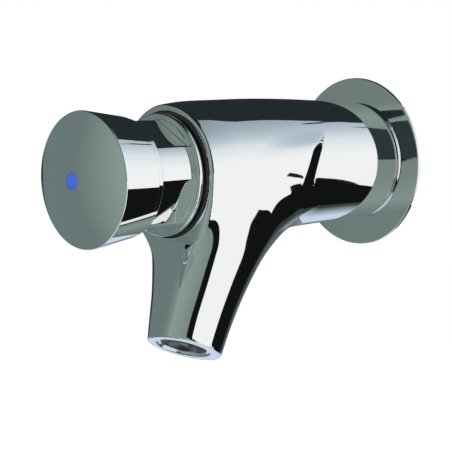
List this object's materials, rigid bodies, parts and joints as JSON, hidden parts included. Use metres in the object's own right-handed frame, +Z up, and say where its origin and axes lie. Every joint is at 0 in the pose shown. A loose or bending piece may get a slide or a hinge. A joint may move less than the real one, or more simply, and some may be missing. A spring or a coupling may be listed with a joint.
{
  "type": "push timed tap",
  "caption": "Wall-mounted timed tap: a round barrel with a domed push button on its end, a leaning round spout below and a threaded inlet behind a round wall plate.",
  "frame": {"origin": "centre of the wall plate's back face, on the inlet's axis, at the wall", "axes": "+Y into the wall along the barrel, +Z up, +X to the right for someone who faces the wall"},
  "size_m": [0.064, 0.1564, 0.0984],
  "materials": {
    "chrome": "polished chrome plate",
    "brass": "turned brass",
    "stainless": "bright stainless steel",
    "white_plastic": "moulded acetal",
    "grey_plastic": "moulded plastic",
    "blue_plastic": "glossy moulded plastic",
    "black_rubber": "moulded rubber"
  },
  "bodies": {
    "housing": {"body": "chrome", "wall_flange": "chrome", "bonnet": "chrome", "jet_housing": "chrome", "inlet_tail": "brass", "valve_seat": "brass", "return_spring": "stainless", "bush_clip": "stainless", "metering_pin": "stainless", "inlet_filter": "stainless", "timing_sleeve": "white_plastic", "guide_bush": "white_plastic", "flow_regulator": "grey_plastic", "jet_former": "grey_plastic", "inlet_o_ring": "black_rubber", "seat_o_ring": "black_rubber", "sleeve_o_ring": "black_rubber", "bonnet_o_ring": "black_rubber", "stem_seal": "black_rubber", "jet_washer": "black_rubber"},
    "plunger": {"button": "chrome", "indicator_dot": "blue_plastic", "button_hub": "grey_plastic", "hub_screw": "stainless", "stem": "stainless", "piston": "white_plastic", "lip_seal": "black_rubber", "piston_clip": "stainless", "valve_plate": "brass", "valve_washer": "black_rubber", "valve_nut": "brass"}
  },
  "joints": [
    {"name": "button_push", "type": "slide", "parent": "housing", "child": "plunger", "axis": [0, 1, 0], "range_m": [0, 0.008], "stiffness_N_per_m": 2000, "springref_m": -0.006, "deforming": ["return_spring"]}
  ]
}
